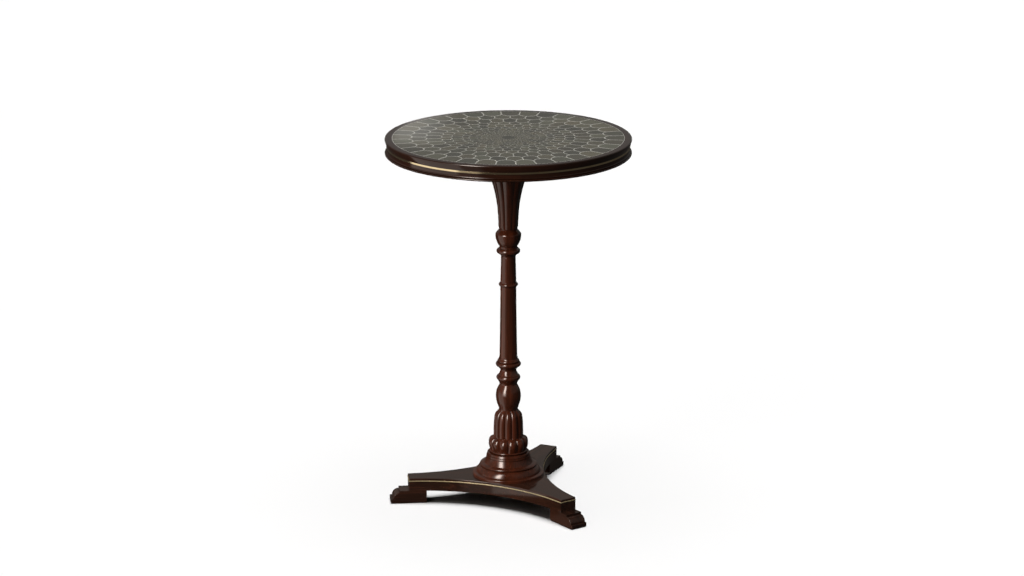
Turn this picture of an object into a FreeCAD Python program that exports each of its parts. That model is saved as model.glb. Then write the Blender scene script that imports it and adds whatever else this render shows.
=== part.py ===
import FreeCAD, Part
import math
import os

# A tall round pedestal table: an inlaid round top with a spool-shaped edge, a turned and carved
# column built up from stacked sections on a tie rod, and a three-armed plinth on stepped feet.
# Lengths are in millimetres, +Z is up, and the origin is on the floor under the column's axis.

# Fits and cuts that every piece shares
cut_overrun = 1.0
spigot_clearance = 0.3
rod_clearance = 0.5
full_turn = 360.0
quarter_round_share = math.sqrt(0.5)

# Felt pads and stepped feet
pad_thickness = 2.0
pad_inset = 4.0
pad_corner_radius = 5.0
foot_overlap = 52.6
foot_projection = 54.4
foot_height = 36.8
foot_fillet_height = 5.8
foot_round_radius = 20.0
foot_ledge = 6.4
foot_edge_radius = 1.2
foot_screw_overlap_shares = (0.27, 0.76)
foot_screw_length = 42.0
foot_screw_access_depth = 10.0

# Three-armed plinth with hollow sides
arm_names = ("left", "front", "back")
first_arm_angle = 180.0
arm_reach = 298.6
arm_end_width = 53.0
side_waist = 108.0
plinth_body_height = 31.5
plinth_slab_thickness = 6.5
slab_edge_radius = 1.2
plinth_band_height = 3.0
plinth_band_proud = 1.2
plinth_band_edge_radius = 1.2
band_thickness = 2.0

# Socle, listed from the bead at its top outwards and down to the plate
socle_bead_radius = 56.6
socle_bead_height = 7.5
socle_bead_swell = 3.2
socle_ring_radius = 62.8
socle_ring_height = 12.3
socle_ring_edge_radius = 2.0
socle_ring_flare = 3.0
socle_ring_overhang = 0.8
socle_bell_width = 4.6
socle_bell_height = 13.0
socle_slope_width = 17.4
socle_slope_height = 12.6
socle_slope_dip = 3.8
socle_lip_height = 3.4
socle_lip_edge_radius = 1.0
socle_swell_width = 14.1
socle_swell_height = 17.7
socle_swell_bulge = 2.3
socle_step_width = 0.8
socle_step_height = 2.5
socle_plate_width = 3.4
socle_plate_height = 8.0
socle_plate_edge_radius = 3.0

# Carved sections: a gadrooned cushion, a reeded drum and a lobed capital
column_turn = -95.8
reed_count = 12
cushion_radius = 60.0
cushion_height = 39.7
cushion_groove_depth = 6.5
drum_radius = 43.9
drum_height = 83.0
drum_groove_depth = 4.6
capital_lobe_count = 8
capital_radius = 72.0
capital_height = 205.5
capital_groove_depth_share = 0.085
capital_turn = 2.5

# Plain turned sections
drum_neck_radius = 27.3
urn_radius = 37.1
urn_height = 77.5
urn_neck_radius = 26.0
lower_knop_radius = 35.4
lower_knop_height = 43.0
knop_neck_radius = 23.7
upper_knop_radius = 37.4
upper_knop_height = 40.0
shaft_foot_radius = 26.3
lower_shaft_height = 216.5
shaft_joint_radius = 23.3
bead_radius = 28.3
bead_height = 13.0
shaft_head_radius = 21.6
upper_shaft_height = 108.0
collar_radius = 34.7
collar_neck_radius = 26.3
cup_radius = 37.9
cup_height = 54.5
capital_neck_radius = 26.4

# Spigots between the column's sections, and the rod that pulls them together
spigot_radius = 13.0
spigot_length = 10.0
rod_radius = 6.0
rod_end_allowance = 3.0
nut_width = 19.0
nut_height = 10.0
nut_sides = 6
washer_radius = 15.0
washer_thickness = 2.5
nut_recess_radius = 17.0

# Block that joins the column to the top
block_radius = 115.0
block_thickness = 21.6
block_edge_radius = 8.0
block_screw_count = 6
block_screw_inset = 20.0
block_screw_length = 44.0
screw_shank_radius = 2.4
screw_head_radius = 4.8
screw_head_height = 3.0

# Round top
top_radius = 360.0
top_thickness = 46.3
rim_height_share = 0.4136
rim_edge_radius = 3.2
waist_depth = 2.0
rim_band_height = 5.0
rim_band_proud = 0.4
apron_lip_height = 5.8
apron_quirk_height = 1.3
apron_bead_height = 4.4
apron_bead_swell = 1.3
rim_width = 30.0
panel_inset = 21.4
panel_ring_width = 1.2
panel_thickness = 4.0
backing_thickness = 3.0

# Heights of the joints between the pieces, from the floor up
foot_base = pad_thickness
plinth_base = foot_base + foot_height
slab_base = plinth_base + plinth_body_height
socle_base = slab_base + plinth_slab_thickness
socle_height = (socle_plate_height + socle_step_height + socle_swell_height + socle_lip_height
                + socle_slope_height + socle_bell_height + socle_ring_height + socle_bead_height)
cushion_base = socle_base + socle_height
drum_base = cushion_base + cushion_height
urn_base = drum_base + drum_height
lower_knop_base = urn_base + urn_height
upper_knop_base = lower_knop_base + lower_knop_height
lower_shaft_base = upper_knop_base + upper_knop_height
bead_base = lower_shaft_base + lower_shaft_height
upper_shaft_base = bead_base + bead_height
cup_base = upper_shaft_base + upper_shaft_height
capital_base = cup_base + cup_height
block_base = capital_base + capital_height
top_base = block_base + block_thickness
table_height = top_base + top_thickness

# Circle of the screws in the block under the top
block_screw_circle = block_radius - block_screw_inset

# Reach of the feet and their screws along each arm
foot_inner_reach = arm_reach - foot_overlap
foot_reach = arm_reach + foot_projection
foot_screw_reaches = [foot_inner_reach + foot_overlap * share for share in foot_screw_overlap_shares]

# Plan of the plinth: the hollow side is an arc through two arm corners and the waist between them
arm_count = len(arm_names)
half_pitch = math.pi / arm_count
corner_reach = 2 * (arm_reach * math.cos(half_pitch) + arm_end_width / 2 * math.sin(half_pitch))
side_radius = ((arm_reach ** 2 + (arm_end_width / 2) ** 2 + side_waist ** 2 - side_waist * corner_reach)
               / (corner_reach - 2 * side_waist))
side_centre = side_waist + side_radius

# Radii of the top's rings, from the outside in
panel_ring_radius = top_radius - panel_inset
panel_radius = panel_ring_radius - panel_ring_width
core_radius = top_radius - rim_width
waist_radius = top_radius - waist_depth
rod_bore_radius = rod_radius + rod_clearance

axis_start = FreeCAD.Vector(0, 0, 0)
axis_up = FreeCAD.Vector(0, 0, 1)


class Outline:
    """Half section of a turned piece, drawn upwards from its lowest outer point."""

    def __init__(self, radius, height):
        self.start = self.at = FreeCAD.Vector(radius, 0, height)
        self.edges = []

    def line(self, radius, height):
        end = FreeCAD.Vector(radius, 0, height)
        self.edges.append(Part.makeLine(self.at, end))
        self.at = end

    def arc(self, middle_radius, middle_height, radius, height):
        middle = FreeCAD.Vector(middle_radius, 0, middle_height)
        end = FreeCAD.Vector(radius, 0, height)
        self.edges.append(Part.Arc(self.at, middle, end).toShape())
        self.at = end

    def ovolo(self, radius, height):
        """Quarter round that swells outwards."""
        reach = (self.at.x - radius) * quarter_round_share
        rise = (height - self.at.z) * quarter_round_share
        self.arc(radius + reach, self.at.z + rise, radius, height)

    def cove(self, radius, height):
        """Quarter round that hollows inwards, upright at its narrow end."""
        narrow = min(self.at.x, radius)
        reach = abs(self.at.x - radius) * (1 - quarter_round_share)
        rise_share = quarter_round_share if radius > self.at.x else 1 - quarter_round_share
        self.arc(narrow + reach, self.at.z + (height - self.at.z) * rise_share, radius, height)

    def hollow(self, radius, height, dip):
        """Shallow hollow pressed in half-way along a straight line, or a swelling if the dip is negative."""
        self.arc((self.at.x + radius) / 2 - dip, (self.at.z + height) / 2, radius, height)

    def half_round(self, radius, height, swell_radius):
        """Bead that swells to a radius half-way up."""
        self.arc(swell_radius, (self.at.z + height) / 2, radius, height)

    def curve(self, points):
        """Smooth curve through points given as radius and height."""
        places = [self.at] + [FreeCAD.Vector(radius, 0, height) for radius, height in points]
        spline = Part.BSplineCurve()
        spline.interpolate(places)
        self.edges.append(spline.toShape())
        self.at = places[-1]

    def turn(self):
        """Close the section on the axis and turn it."""
        if self.at.x > 0:
            self.line(0, self.at.z)
        self.line(0, self.start.z)
        self.line(self.start.x, self.start.z)
        section = Part.Face(Part.Wire(Part.__sortEdges__(self.edges)))
        return section.revolve(axis_start, axis_up, full_turn)


class Turning(Outline):
    """Outline of a column section whose places are shares of its greatest radius and its height."""

    def __init__(self, start_radius, base, height, radius):
        super().__init__(start_radius, base)
        self.base = base
        self.height = height
        self.radius = radius

    def place(self, shares):
        radius_share, height_share = shares
        return self.radius * radius_share, self.base + self.height * height_share

    def line_to(self, shares):
        self.line(*self.place(shares))

    def arc_to(self, middle_shares, end_shares):
        self.arc(*self.place(middle_shares), *self.place(end_shares))


def disc(radius, base, height):
    return Part.makeCylinder(radius, height, FreeCAD.Vector(0, 0, base))


def ring(outer_radius, inner_radius, base, height):
    bore = disc(inner_radius, base - cut_overrun, height + 2 * cut_overrun)
    return disc(outer_radius, base, height).cut(bore)


def jointed(section, base, top, spigot=True, socket=True):
    """Bore a column section for the rod, with a spigot below it and a socket for the one above."""
    if spigot:
        section = section.fuse(disc(spigot_radius, base - spigot_length, spigot_length))
    if socket:
        depth = spigot_length + spigot_clearance
        section = section.cut(disc(spigot_radius + spigot_clearance, top - depth, depth + cut_overrun))
    low = base - spigot_length - cut_overrun
    return section.cut(disc(rod_bore_radius, low, top - low + cut_overrun)).removeSplitter()


def at_arm(shape, index):
    """Turn a shape that lies along +X to one of the plinth's arms."""
    turned = shape.copy()
    turned.rotate(axis_start, axis_up, first_arm_angle + index * full_turn / arm_count)
    return turned


def softened(body, radius, wanted):
    """Round the edges of a body that pass a test."""
    return body.makeFillet(radius, [edge for edge in body.Edges if wanted(edge)])


def lobed_wire(count, crest_radius, groove_radius, height):
    """Closed outline of convex lobes that meet in grooves."""
    pitch = 2 * math.pi / count
    first = math.radians(column_turn)

    def place(radius, steps):
        angle = first + steps * pitch
        return FreeCAD.Vector(radius * math.cos(angle), radius * math.sin(angle), height)

    lobes = []
    for index in range(count):
        start = place(groove_radius, index - 0.5)
        end = place(groove_radius, index + 0.5)
        lobes.append(Part.Arc(start, place(crest_radius, index), end).toShape())
    return Part.Wire(lobes)


def lobed_solid(count, sections):
    """Carved body through lobed outlines, each given as crest radius, groove radius and height."""
    wires = [lobed_wire(count, crest, groove, height) for crest, groove, height in sections]
    return Part.makeLoft(wires, True, False)


def wood_screw(length):
    """Countersunk screw that points up, with its head at the bottom."""
    profile = Outline(screw_head_radius, 0)
    profile.line(screw_shank_radius, screw_head_height)
    profile.line(screw_shank_radius, length - 2 * screw_shank_radius)
    profile.line(0, length)
    return profile.turn()


def screw_at(length, reach, base):
    placed = wood_screw(length)
    placed.translate(FreeCAD.Vector(reach, 0, base))
    return placed


def access_bore(reach, base, depth):
    """Bore below a sunk screw head."""
    start = FreeCAD.Vector(reach, 0, base - cut_overrun)
    return Part.makeCylinder(screw_head_radius, depth + cut_overrun, start)


# Feet, their pads and their screws

def foot_profile():
    """Side view of a foot along its arm: a tread, a fillet, a quarter round, a ledge and a toe."""
    top = foot_base + foot_height
    round_end = foot_reach - foot_ledge
    round_start = round_end - foot_round_radius
    round_top = top - foot_fillet_height
    round_base = round_top - foot_round_radius
    bulge = foot_round_radius * quarter_round_share
    corners = [(foot_inner_reach, top), (foot_inner_reach, foot_base), (foot_reach, foot_base),
               (foot_reach, round_base), (round_end, round_base)]
    places = [FreeCAD.Vector(reach, 0, height) for reach, height in corners]
    edges = [Part.makeLine(start, end) for start, end in zip(places, places[1:])]
    shoulder = FreeCAD.Vector(round_start, 0, round_top)
    middle = FreeCAD.Vector(round_start + bulge, 0, round_base + bulge)
    tread = FreeCAD.Vector(round_start, 0, top)
    edges.append(Part.Arc(places[-1], middle, shoulder).toShape())
    edges.append(Part.makeLine(shoulder, tread))
    edges.append(Part.makeLine(tread, places[0]))
    return Part.Face(Part.Wire(edges))


def foot_screw(reach):
    return screw_at(foot_screw_length, reach, foot_base + foot_screw_access_depth)


def foot_edge_shows(edge):
    """Edges of the quarter round and of the toe's corners."""
    middle = edge.CenterOfMass
    on_round = edge.Curve.TypeId == "Part::GeomCircle"
    at_toe = middle.x > foot_reach - foot_edge_radius and middle.z > foot_base + foot_edge_radius
    return on_round or at_toe


def foot_blank():
    body = foot_profile().extrude(FreeCAD.Vector(0, arm_end_width, 0))
    body.translate(FreeCAD.Vector(0, -arm_end_width / 2, 0))
    body = softened(body, foot_edge_radius, foot_edge_shows)
    for reach in foot_screw_reaches:
        body = body.cut(access_bore(reach, foot_base, foot_screw_access_depth)).cut(foot_screw(reach))
    return body


def pad_blank():
    length = foot_reach - foot_inner_reach - 2 * pad_inset
    width = arm_end_width - 2 * pad_inset
    corner = FreeCAD.Vector(foot_inner_reach + pad_inset, -width / 2, 0)
    pad = Part.makeBox(length, width, pad_thickness, corner)
    upright = [edge for edge in pad.Edges if abs(edge.tangentAt(edge.FirstParameter).z) > quarter_round_share]
    return pad.makeFillet(pad_corner_radius, upright)


def on_every_arm(shapes):
    return [at_arm(shape, index) for index in range(arm_count) for shape in shapes]


# Plinth

def plinth_outline(inset, height):
    """Plan of the plinth, drawn in from its edge by an inset."""
    reach = arm_reach - inset
    radius = side_radius + inset
    rise = math.sqrt(radius ** 2 - (reach - side_centre * math.cos(half_pitch)) ** 2)
    half_width = side_centre * math.sin(half_pitch) - rise
    waist = side_waist - inset

    def place(angle, outward, sideways):
        return FreeCAD.Vector(outward * math.cos(angle) - sideways * math.sin(angle),
                              outward * math.sin(angle) + sideways * math.cos(angle), height)

    edges = []
    for index in range(arm_count):
        arm_angle = math.radians(first_arm_angle) + index * 2 * half_pitch
        next_angle = arm_angle + 2 * half_pitch
        left = place(arm_angle, reach, half_width)
        edges.append(Part.makeLine(place(arm_angle, reach, -half_width), left))
        hollow = place(arm_angle + half_pitch, waist, 0)
        edges.append(Part.Arc(left, hollow, place(next_angle, reach, -half_width)).toShape())
    return Part.Wire(edges)


def plinth_layer(inset, base, height):
    return Part.Face(plinth_outline(inset, base)).extrude(FreeCAD.Vector(0, 0, height))


def plinth_slab():
    """Thin top of the plinth with eased upper edges and corners."""
    slab = plinth_layer(0, slab_base, plinth_slab_thickness)
    slab = softened(slab, slab_edge_radius, lambda edge: edge.BoundBox.ZMax > slab_base + slab_edge_radius)
    return slab.cut(disc(rod_bore_radius, slab_base - cut_overrun, plinth_slab_thickness + 2 * cut_overrun))


def plinth_band():
    """Round-edged metal strip round the plinth, let into its body under the slab."""
    base = slab_base - plinth_band_height
    outer = plinth_layer(-plinth_band_proud, base, plinth_band_height)
    outer = softened(outer, plinth_band_edge_radius, lambda edge: True)
    return outer.cut(plinth_layer(band_thickness, base - cut_overrun, plinth_band_height + 2 * cut_overrun))


def plinth_body():
    lower = plinth_layer(0, plinth_base, plinth_body_height - plinth_band_height)
    upper = plinth_layer(band_thickness, slab_base - plinth_band_height, plinth_band_height)
    body = lower.fuse(upper).removeSplitter()
    body = body.cut(disc(rod_bore_radius, plinth_base - cut_overrun, plinth_body_height + 2 * cut_overrun))
    body = body.cut(disc(nut_recess_radius, plinth_base - cut_overrun, plinth_recess_depth + cut_overrun))
    for screw in on_every_arm([foot_screw(reach) for reach in foot_screw_reaches]):
        body = body.cut(screw)
    return body


# Column, from the socle up

def socle():
    """Foot of the column: a plate, a swell, a lip, a hollow slope, a bell, a flared ring and a bead."""
    ring_foot_radius = socle_ring_radius + socle_ring_flare
    bell_top_radius = ring_foot_radius - socle_ring_overhang
    bell_radius = bell_top_radius + socle_bell_width
    slope_radius = bell_radius + socle_slope_width
    lip_radius = slope_radius + socle_lip_edge_radius
    swell_radius = lip_radius + socle_swell_width
    step_radius = swell_radius + socle_step_width
    plate_radius = step_radius + socle_plate_width
    level = socle_base + socle_plate_height
    outline = Outline(plate_radius, socle_base)
    outline.line(plate_radius, level - socle_plate_edge_radius)
    outline.ovolo(plate_radius - socle_plate_edge_radius, level)
    if outline.at.x > step_radius:
        outline.line(step_radius, level)
    level += socle_step_height
    outline.line(step_radius, level)
    outline.line(swell_radius, level)
    level += socle_swell_height
    outline.hollow(lip_radius, level, -socle_swell_bulge)
    level += socle_lip_height
    outline.line(lip_radius, level - socle_lip_edge_radius)
    outline.ovolo(slope_radius, level)
    level += socle_slope_height
    outline.hollow(bell_radius, level, socle_slope_dip)
    level += socle_bell_height
    outline.line(bell_top_radius, level)
    outline.line(ring_foot_radius, level)
    level += socle_ring_height
    outline.line(socle_ring_radius, level - socle_ring_edge_radius)
    outline.ovolo(socle_ring_radius - socle_ring_edge_radius, level)
    outline.line(socle_bead_radius - socle_bead_swell, level)
    level += socle_bead_height
    outline.half_round(socle_bead_radius - socle_bead_swell, level, socle_bead_radius)
    return jointed(outline.turn(), socle_base, cushion_base, spigot=False)


def carved_sections(base, height, radius, groove_depth, height_crest_groove_shares):
    """Lobed outlines from shares of a carved piece's height, radius and groove depth."""
    sections = []
    for height_share, crest_share, groove_share in height_crest_groove_shares:
        crest = radius * crest_share
        sections.append((crest, crest - groove_depth * groove_share, base + height * height_share))
    return sections


def gadroon_cushion():
    """Flattened cushion of swelling lobes, set half a lobe round from the reeds above."""
    height_crest_groove_shares = ((0.0, 0.905, 0.55), (0.13, 0.94, 0.75), (0.29, 0.973, 0.92),
                                  (0.46, 0.997, 1.0), (0.63, 0.99, 1.0), (0.78, 0.955, 1.0), (0.9, 0.88, 0.9))
    sections = carved_sections(cushion_base, cushion_height, cushion_radius, cushion_groove_depth,
                               height_crest_groove_shares)
    sections.append((drum_radius, drum_radius - drum_groove_depth, drum_base))
    body = lobed_solid(reed_count, sections)
    body.rotate(axis_start, axis_up, full_turn / reed_count / 2)
    return jointed(body, cushion_base, drum_base)


def reeded_drum():
    """Drum of round reeds that run up and over its shoulder to the neck."""
    height_crest_groove_shares = ((0.0, 1.0, 1.0), (0.17, 0.999, 1.0), (0.34, 0.994, 1.0), (0.5, 0.983, 1.0),
                                  (0.65, 0.962, 1.0), (0.78, 0.927, 1.0), (0.87, 0.862, 0.95),
                                  (0.935, 0.76, 0.75))
    neck_groove_share = 0.35
    sections = carved_sections(drum_base, drum_height, drum_radius, drum_groove_depth,
                               height_crest_groove_shares)
    sections.append((drum_neck_radius, drum_neck_radius - drum_groove_depth * neck_groove_share, urn_base))
    return jointed(lobed_solid(reed_count, sections), drum_base, urn_base)


def urn():
    belly_shares = ((0.794, 0.105), (0.881, 0.222), (0.958, 0.36), (0.992, 0.485), (1.0, 0.57),
                    (0.973, 0.684), (0.919, 0.793), (0.809, 0.91))
    outline = Turning(drum_neck_radius, urn_base, urn_height, urn_radius)
    outline.curve([outline.place(shares) for shares in belly_shares] + [(urn_neck_radius, lower_knop_base)])
    return jointed(outline.turn(), urn_base, lower_knop_base)


def lower_knop():
    """A hollow flank, a round and a sharp quirk, under a bell that narrows to the next neck."""
    neck_shares = (0.735, 0.08)
    flank_shares = ((0.814, 0.216), (0.93, 0.367))
    round_shares = ((1.0, 0.505), (0.924, 0.642))
    quirk_shares = ((0.879, 0.642), (0.879, 0.668))
    bell_shares = ((0.772, 0.785), (0.687, 0.955))
    outline = Turning(urn_neck_radius, lower_knop_base, lower_knop_height, lower_knop_radius)
    outline.line_to(neck_shares)
    outline.arc_to(*flank_shares)
    outline.arc_to(*round_shares)
    for shares in quirk_shares:
        outline.line_to(shares)
    outline.arc_to(*bell_shares)
    outline.line(knop_neck_radius, upper_knop_base)
    return jointed(outline.turn(), lower_knop_base, upper_knop_base)


def upper_knop():
    """A hollow flank, a large round, a quirk and a small bead, with a cove and a fillet under the shaft."""
    neck_shares = (0.647, 0.1)
    flank_shares = ((0.743, 0.213), (0.888, 0.333))
    round_shares = ((1.0, 0.485), (0.909, 0.638))
    quirk_shares = ((0.845, 0.638), (0.845, 0.66))
    bead_shares = ((0.872, 0.735), (0.823, 0.825))
    cove_shares = ((0.765, 0.88), (0.738, 0.955))
    fillet_shares = (0.738, 1.0)
    outline = Turning(knop_neck_radius, upper_knop_base, upper_knop_height, upper_knop_radius)
    outline.line_to(neck_shares)
    outline.arc_to(*flank_shares)
    outline.arc_to(*round_shares)
    for shares in quirk_shares:
        outline.line_to(shares)
    outline.arc_to(*bead_shares)
    outline.arc_to(*cove_shares)
    outline.line_to(fillet_shares)
    return jointed(outline.turn(), upper_knop_base, lower_shaft_base)


def lower_shaft():
    """Long slender shaft with a slight swell, widest at its foot."""
    middle_share = 0.5
    taper_share = 0.36
    middle_radius = shaft_joint_radius + (shaft_foot_radius - shaft_joint_radius) * taper_share
    middle_height = lower_shaft_base + lower_shaft_height * middle_share
    outline = Outline(shaft_foot_radius, lower_shaft_base)
    outline.arc(middle_radius, middle_height, shaft_joint_radius, bead_base)
    return jointed(outline.turn(), lower_shaft_base, bead_base)


def shaft_bead():
    """Half-round bead between two narrow fillets."""
    fillet_radius_share = 0.866
    lower_fillet_shares = (fillet_radius_share, 0.13)
    round_shares = ((1.0, 0.5), (fillet_radius_share, 0.87))
    upper_fillet_shares = (fillet_radius_share, 1.0)
    outline = Turning(bead_radius * fillet_radius_share, bead_base, bead_height, bead_radius)
    outline.line_to(lower_fillet_shares)
    outline.arc_to(*round_shares)
    outline.line_to(upper_fillet_shares)
    return jointed(outline.turn(), bead_base, upper_shaft_base)


def upper_shaft():
    """Tapered shaft that flares through a small cove and a fillet into a round collar."""
    cove_base_share = 0.705
    cove_top_shares = (0.715, 0.779)
    fillet_shares = (0.715, 0.793)
    collar_foot_shares = (0.795, 0.808)
    collar_shares = ((1.0, 0.888), (0.765, 0.963))
    outline = Turning(shaft_joint_radius, upper_shaft_base, upper_shaft_height, collar_radius)
    outline.line(shaft_head_radius, upper_shaft_base + upper_shaft_height * cove_base_share)
    outline.cove(*outline.place(cove_top_shares))
    outline.line_to(fillet_shares)
    outline.line_to(collar_foot_shares)
    outline.arc_to(*collar_shares)
    outline.line(collar_neck_radius, cup_base)
    return jointed(outline.turn(), upper_shaft_base, cup_base)


def cup():
    """Deep bowl with a crisp shoulder, a straight cone above it and a fillet at the neck."""
    neck_shares = (0.702, 0.045)
    bowl_shares = ((0.929, 0.358), (1.0, 0.67))
    shoulder_shares = ((0.989, 0.736), (0.955, 0.78))
    cone_shares = (0.728, 0.971)
    fillet_shares = (0.728, 1.0)
    outline = Turning(collar_neck_radius, cup_base, cup_height, cup_radius)
    outline.line_to(neck_shares)
    outline.arc_to(*bowl_shares)
    outline.arc_to(*shoulder_shares)
    outline.line_to(cone_shares)
    outline.line_to(fillet_shares)
    return jointed(outline.turn(), cup_base, capital_base)


def capital():
    """Flared capital of eight shallow lobes with rounded ends above the neck."""
    height_crest_shares = ((0.045, 0.4), (0.115, 0.408), (0.23, 0.428), (0.35, 0.459), (0.465, 0.512),
                           (0.58, 0.583), (0.67, 0.653), (0.78, 0.752), (0.89, 0.866), (1.0, 1.0))
    neck_groove = capital_neck_radius * (1 - capital_groove_depth_share / 2)
    sections = [(capital_neck_radius, neck_groove, capital_base)]
    for height_share, crest_share in height_crest_shares:
        crest = capital_radius * crest_share
        groove = crest * (1 - capital_groove_depth_share)
        sections.append((crest, groove, capital_base + capital_height * height_share))
    body = lobed_solid(capital_lobe_count, sections)
    body.rotate(axis_start, axis_up, capital_turn)
    return jointed(body, capital_base, block_base)


# Tie rod with its nuts and washers

nut_stack = nut_height + washer_thickness + rod_end_allowance
plinth_recess_depth = nut_stack + rod_end_allowance
block_recess_depth = nut_stack + rod_end_allowance
washer_places = (plinth_base + plinth_recess_depth - washer_thickness, top_base - block_recess_depth)
nut_places = (washer_places[0] - nut_height, washer_places[1] + washer_thickness)


def tie_rod():
    low = nut_places[0] - rod_end_allowance
    high = nut_places[1] + nut_height + rod_end_allowance
    return disc(rod_radius, low, high - low)


def nut(base):
    corner_radius = nut_width / 2 / math.cos(math.pi / nut_sides)
    corners = [FreeCAD.Vector(corner_radius * math.cos(2 * math.pi * step / nut_sides),
                              corner_radius * math.sin(2 * math.pi * step / nut_sides), base)
               for step in range(nut_sides + 1)]
    body = Part.Face(Part.makePolygon(corners)).extrude(FreeCAD.Vector(0, 0, nut_height))
    return body.cut(disc(rod_radius, base - cut_overrun, nut_height + 2 * cut_overrun))


def washer(base):
    return ring(washer_radius, rod_radius, base, washer_thickness)


# Block under the top and its screws

def block_screws():
    screws = []
    for index in range(block_screw_count):
        screw = screw_at(block_screw_length, block_screw_circle, block_base)
        screw.rotate(axis_start, axis_up, index * full_turn / block_screw_count)
        screws.append(screw)
    return screws


def without_screws(shape):
    for screw in block_screws():
        shape = shape.cut(screw)
    return shape


def top_block():
    outline = Outline(block_radius - block_edge_radius, block_base)
    bulge = block_edge_radius * quarter_round_share
    rim_height = block_base + block_edge_radius
    outline.arc(block_radius - block_edge_radius + bulge, rim_height - bulge, block_radius, rim_height)
    outline.line(block_radius, top_base)
    block = jointed(outline.turn(), block_base, top_base, socket=False)
    recess = disc(nut_recess_radius, top_base - block_recess_depth, block_recess_depth + cut_overrun)
    return without_screws(block.cut(recess))


# Round top: mouldings, bands, core and inlaid panel

waist_high = table_height - top_thickness * rim_height_share
waist_low = waist_high - rim_band_height
band_seat_radius = waist_radius - band_thickness
flank_dip = waist_depth / 4


def rim_moulding():
    """Upper edge of the top: a slightly hollow flank and a rounded edge, rebated for the panel."""
    outline = Outline(waist_radius, waist_high)
    outline.hollow(top_radius, table_height - rim_edge_radius, flank_dip)
    outline.ovolo(top_radius - rim_edge_radius, table_height)
    body = outline.turn()
    height = table_height - waist_high
    body = body.cut(disc(core_radius, waist_high - cut_overrun, height + 2 * cut_overrun))
    return body.cut(disc(panel_ring_radius, table_height - panel_thickness, panel_thickness + cut_overrun))


def apron_moulding():
    """Lower edge of the top: a rounded lip, a bead and an upright face, rebated to seat the metal band."""
    apron_bead_base = top_base + apron_lip_height + apron_quirk_height
    outline = Outline(waist_radius, top_base)
    outline.half_round(waist_radius, top_base + apron_lip_height, top_radius)
    outline.line(waist_radius, apron_bead_base)
    outline.half_round(waist_radius, apron_bead_base + apron_bead_height, waist_radius + apron_bead_swell)
    outline.line(waist_radius, waist_low)
    outline.line(band_seat_radius, waist_low)
    outline.line(band_seat_radius, waist_high)
    return outline.turn().cut(disc(core_radius, top_base - cut_overrun, top_thickness))


def rim_band():
    return ring(waist_radius + rim_band_proud, band_seat_radius, waist_low, rim_band_height)


def top_core():
    base = top_base + backing_thickness
    return without_screws(disc(core_radius, base, top_thickness - backing_thickness - panel_thickness))


def backing_board():
    return without_screws(disc(core_radius, top_base, backing_thickness))


def panel_ring():
    return ring(panel_ring_radius, panel_radius, table_height - panel_thickness, panel_thickness)


def scale_panel():
    return disc(panel_radius, table_height - panel_thickness, panel_thickness)


pieces = {
    "foot_pads": Part.makeCompound(on_every_arm([pad_blank()])),
    "foot_screws": Part.makeCompound(on_every_arm([foot_screw(reach) for reach in foot_screw_reaches])),
    "plinth_body": plinth_body(),
    "plinth_band": plinth_band(),
    "plinth_slab": plinth_slab(),
    "socle": socle(),
    "gadroon_cushion": gadroon_cushion(),
    "reeded_drum": reeded_drum(),
    "urn": urn(),
    "lower_knop": lower_knop(),
    "upper_knop": upper_knop(),
    "lower_shaft": lower_shaft(),
    "shaft_bead": shaft_bead(),
    "upper_shaft": upper_shaft(),
    "cup": cup(),
    "capital": capital(),
    "tie_rod": tie_rod(),
    "tie_rod_nuts": Part.makeCompound([nut(base) for base in nut_places]),
    "tie_rod_washers": Part.makeCompound([washer(base) for base in washer_places]),
    "top_block": top_block(),
    "top_block_screws": Part.makeCompound(block_screws()),
    "backing_board": backing_board(),
    "top_core": top_core(),
    "apron_moulding": apron_moulding(),
    "rim_band": rim_band(),
    "rim_moulding": rim_moulding(),
    "panel_ring": panel_ring(),
    "scale_panel": scale_panel(),
}
for index, arm_name in enumerate(arm_names):
    pieces["foot_" + arm_name] = at_arm(foot_blank(), index)

os.makedirs("parts", exist_ok=True)
for name, shape in pieces.items():
    shape.exportStep(os.path.join("parts", name + ".step"))
    print(name, "solids", len(shape.Solids), "valid", shape.isValid(), "volume", round(shape.Volume))
print("table height", table_height, "top diameter", 2 * top_radius)
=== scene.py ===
# %% [markdown]
# # A tall round table with a fish-scale inlaid top
# The table is a turned and carved mahogany column on a three-armed plinth, under a round top that is
# inlaid with scales of straw-coloured veneer between pale metal strings. Its solids come packed as a
# fixed frame in metres. This lesson dresses them: most solids keep their shape and get a finish, the foot of
# the column and the rings of the rim are turned again with crisper sections, and the inlay of the top is
# modelled scale by scale.

# %% Load the frame
import bpy
import math
import random
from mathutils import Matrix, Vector


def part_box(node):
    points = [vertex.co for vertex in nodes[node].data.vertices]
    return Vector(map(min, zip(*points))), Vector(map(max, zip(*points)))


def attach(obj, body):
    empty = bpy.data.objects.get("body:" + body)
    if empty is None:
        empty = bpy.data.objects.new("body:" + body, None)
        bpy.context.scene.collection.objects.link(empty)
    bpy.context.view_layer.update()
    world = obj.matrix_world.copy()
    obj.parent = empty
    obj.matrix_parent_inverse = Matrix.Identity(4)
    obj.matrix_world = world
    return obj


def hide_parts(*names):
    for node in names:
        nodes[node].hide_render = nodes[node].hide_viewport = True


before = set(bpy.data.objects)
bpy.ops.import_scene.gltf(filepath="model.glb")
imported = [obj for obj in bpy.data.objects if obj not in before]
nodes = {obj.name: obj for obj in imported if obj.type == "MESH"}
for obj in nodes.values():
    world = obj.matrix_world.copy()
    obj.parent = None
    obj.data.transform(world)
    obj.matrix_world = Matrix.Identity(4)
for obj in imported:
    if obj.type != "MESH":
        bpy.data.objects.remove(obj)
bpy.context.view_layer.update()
mm = 0.001

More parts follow.
